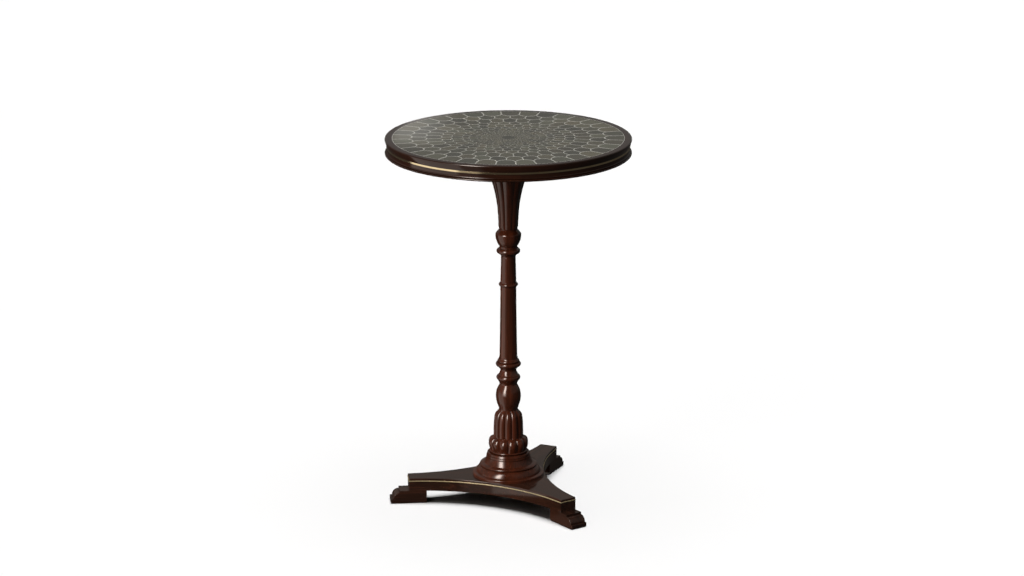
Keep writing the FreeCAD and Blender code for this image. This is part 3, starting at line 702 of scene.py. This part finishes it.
print("round ends in mm", [round(ring_end(index) / mm, 1) for index in range(ring_count)])


# %% [markdown]
# The straw fields are dark grey-green with fine radial fibres, and each scale was cut from another part of
# the straw, so its tint differs a little from its neighbours'. The strings between them are pale metal.
# Both lie under the same thick clear polish as the rim.

# %% Mix the straw and the strings
dark_straw = (0.032, 0.031, 0.023, 1)
green_straw = (0.098, 0.102, 0.07, 1)
brown_straw = (0.112, 0.096, 0.06, 1)
pale_string = (0.8, 0.79, 0.72, 1)
worn_string = (0.66, 0.64, 0.57, 1)
straw_stretch = 0.25
straw_scale = 260.0
wear_scale = 160.0
thick_polish = 0.03


def straw():
    material, tree, shader = new_material("straw_scales")
    place = add_node(tree, "ShaderNodeTexCoord").outputs["Object"]
    angle, radius, _ = polar(tree, place, 0, -1)
    tint = add_node(tree, "ShaderNodeAttribute", attribute_name="tile_tint").outputs["Fac"]
    outwards = reckon(tree, "MULTIPLY", radius, straw_stretch)
    own_part = reckon(tree, "MULTIPLY", tint, 9.0)
    lengthways = add_node(tree, "ShaderNodeCombineXYZ", {"X": angle, "Y": outwards, "Z": own_part}).outputs[0]
    fibre = noise(tree, lengthways, straw_scale, 3, 0.6)
    hue = reckon(tree, "FRACT", reckon(tree, "MULTIPLY", tint, 7.0))
    light_straw = blend_colours(tree, hue, green_straw, brown_straw)
    shade = reckon(tree, "ADD", reckon(tree, "MULTIPLY", fibre, 0.8), reckon(tree, "MULTIPLY", tint, 0.4))
    tree.links.new(blend_colours(tree, rise(tree, shade, 0.3, 0.95), dark_straw, light_straw),
                   shader.inputs["Base Color"])
    tree.links.new(rise(tree, fibre, 0.3, 0.7, 0.3, 0.5), shader.inputs["Roughness"])
    shader.inputs["Specular IOR Level"].default_value = 0.0
    shader.inputs["Coat Weight"].default_value = 1.0
    shader.inputs["Coat Roughness"].default_value = thick_polish
    return material


def string_metal():
    material, tree, shader = new_material("inlay_strings")
    place = add_node(tree, "ShaderNodeTexCoord").outputs["Object"]
    wear = rise(tree, noise(tree, place, wear_scale, 3, 0.6), 0.35, 0.7)
    tree.links.new(blend_colours(tree, wear, pale_string, worn_string), shader.inputs["Base Color"])
    tree.links.new(rise(tree, wear, 0.0, 1.0, 0.25, 0.45), shader.inputs["Roughness"])
    shader.inputs["Metallic"].default_value = 0.35
    shader.inputs["Coat Weight"].default_value = 1.0
    shader.inputs["Coat Roughness"].default_value = thick_polish
    return material


straw_scales = straw()
inlay_strings = string_metal()
for slot in nodes["panel_ring"].material_slots:
    slot.material = inlay_strings
print("straw and strings mixed")


# %% Shape one scale
def apply_place(piece):
    """Move a piece's place, turn and size into its mesh."""
    bpy.ops.object.select_all(action="DESELECT")
    piece.select_set(True)
    bpy.context.view_layer.objects.active = piece
    bpy.ops.object.transform_apply(location=True, rotation=True, scale=True)


def select_by(mesh_piece, wanted):
    """Select the vertices of a piece in edit mode whose place passes a test, and nothing else."""
    bpy.ops.object.mode_set(mode="EDIT")
    bpy.ops.mesh.select_mode(type="VERT")
    bpy.ops.mesh.select_all(action="DESELECT")
    bpy.ops.object.mode_set(mode="OBJECT")
    for vertex in mesh_piece.data.vertices:
        vertex.select = wanted(vertex.co)
    bpy.ops.object.mode_set(mode="EDIT")


def trim_to_ring():
    """Cut the active scale, one of the outermost ring, back to the round border in three straight cuts."""
    cut_turn = scale_pitch / 3
    cut_radius = panel_radius * math.cos(cut_turn / 2)
    for step in (-1, 0, 1):
        outwards = Vector((math.cos(step * cut_turn), math.sin(step * cut_turn), 0))
        bpy.ops.object.mode_set(mode="EDIT")
        bpy.ops.mesh.select_all(action="SELECT")
        bpy.ops.mesh.bisect(plane_co=outwards * cut_radius, plane_no=outwards, clear_outer=True)
        bpy.ops.object.mode_set(mode="OBJECT")


def shape_scale(index):
    """One scale on the +X axis: a half circle drawn outwards, with a string inset along its border."""
    centre = round_centre(index)
    outer = panel_radius * border_overrun if index == 0 else round_centre(index - 1) * lap_overrun
    half_width = centre * math.tan(scale_pitch / 2)
    string = centre * (string_share if index < coarse_rings else fine_string_share)
    top = panel_top - index * lap_step
    bpy.ops.object.select_all(action="DESELECT")
    bpy.ops.mesh.primitive_circle_add(vertices=round_points, radius=half_width, fill_type="NGON",
                                      location=(centre, 0, top))
    tile = bpy.context.object
    apply_place(tile)
    bpy.ops.object.mode_set(mode="EDIT")
    bpy.ops.mesh.select_all(action="SELECT")
    bpy.ops.mesh.bisect(plane_co=(centre, 0, top), plane_no=(1, 0, 0), clear_outer=True)
    select_by(tile, lambda place: place.x > centre - 0.01 * mm)
    bpy.ops.mesh.extrude_region_move(TRANSFORM_OT_translate={"value": (outer - centre, 0, 0)})
    bpy.ops.transform.resize(value=(1, outer / centre, 1), center_override=(outer, 0, top))
    bpy.ops.mesh.select_all(action="SELECT")
    bpy.ops.mesh.normals_make_consistent(inside=False)
    bpy.ops.mesh.inset(thickness=string)
    bpy.ops.transform.resize(value=(1, (half_width - string / 2) / (half_width - string), 1),
                             center_override=(centre, 0, top))
    bpy.ops.object.mode_set(mode="OBJECT")
    tile.data.materials.append(straw_scales)
    tile.data.materials.append(inlay_strings)
    for face in tile.data.polygons:
        face.material_index = 0 if face.select else 1
    if index == 0:
        trim_to_ring()
    return tile


sample = shape_scale(0)
print("faces of one scale", len(sample.data.polygons))
bpy.data.objects.remove(sample)


# %% Repeat the scales round the table
def repeat_round(tile, index, turner):
    """Give a scale its thickness and repeat it round the ring, each copy with its own tint."""
    bpy.ops.object.select_all(action="DESELECT")
    tile.select_set(True)
    bpy.context.view_layer.objects.active = tile
    wall = tile.modifiers.new("thickness", "SOLIDIFY")
    wall.thickness = tile_depth
    wall.offset = -1.0
    bpy.ops.object.modifier_apply(modifier=wall.name)
    faces = len(tile.data.polygons)
    ring = tile.modifiers.new("ring", "ARRAY")
    ring.use_relative_offset = False
    ring.use_object_offset = True
    ring.offset_object = turner
    ring.count = scale_count
    bpy.ops.object.modifier_apply(modifier=ring.name)
    tint = tile.data.attributes.new("tile_tint", "FLOAT", "FACE")
    for copy in range(scale_count):
        value = tint_draw.random()
        for face in range(copy * faces, (copy + 1) * faces):
            tint.data[face].value = value
    tile.rotation_euler.z = first_side_angle + scale_pitch * (0.5 if index % 2 == 0 else 1.0)
    apply_place(tile)
    return tile


tint_draw = random.Random(36)
bpy.ops.object.empty_add(rotation=(0, 0, scale_pitch))
turner = bpy.context.object
rings = [repeat_round(shape_scale(index), index, turner) for index in range(ring_count)]
bpy.data.objects.remove(turner)
print("scales", scale_count * ring_count)

# %% [markdown]
# Under the scales lies the panel's board. Its face shows only as a small round at the very centre, where the
# scales would become too small to cut. It starts as a cylinder that fills the panel's recess, and gets an
# inset round that rises to the scales.

# %% Lay the board under the scales
board_top = panel_top - ring_count * lap_step - tile_depth / 2
board_depth = board_top - panel_low_corner.z
bpy.ops.object.select_all(action="DESELECT")
bpy.ops.mesh.primitive_cylinder_add(vertices=144, radius=panel_radius, depth=board_depth,
                                    location=(0, 0, board_top - board_depth / 2))
board = bpy.context.object
apply_place(board)
bpy.ops.object.mode_set(mode="EDIT")
bpy.ops.mesh.select_mode(type="FACE")
bpy.ops.mesh.select_all(action="DESELECT")
bpy.ops.object.mode_set(mode="OBJECT")
for face in board.data.polygons:
    face.select = face.normal.z > 0.9
bpy.ops.object.mode_set(mode="EDIT")
bpy.ops.mesh.inset(thickness=panel_radius - round_centre(ring_count - 1))
bpy.ops.mesh.extrude_region_move(TRANSFORM_OT_translate={"value": (0, 0, tile_depth / 2)})
bpy.ops.object.mode_set(mode="OBJECT")
board.data.materials.append(straw_scales)
print("board faces", len(board.data.polygons))

# %% Join the inlay
bpy.ops.object.select_all(action="DESELECT")
for piece in rings + [board]:
    piece.select_set(True)
bpy.context.view_layer.objects.active = rings[0]
bpy.ops.object.join()
inlay = bpy.context.object
inlay.name = "fish_scale_inlay"
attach(inlay, "root")
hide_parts("scale_panel")
print("inlay faces", len(inlay.data.polygons))

# %% [markdown]
# ## Plain colours
# The standard view keeps a colour as it is written.

# %% Plain colours
bpy.context.scene.view_settings.view_transform = "Standard"
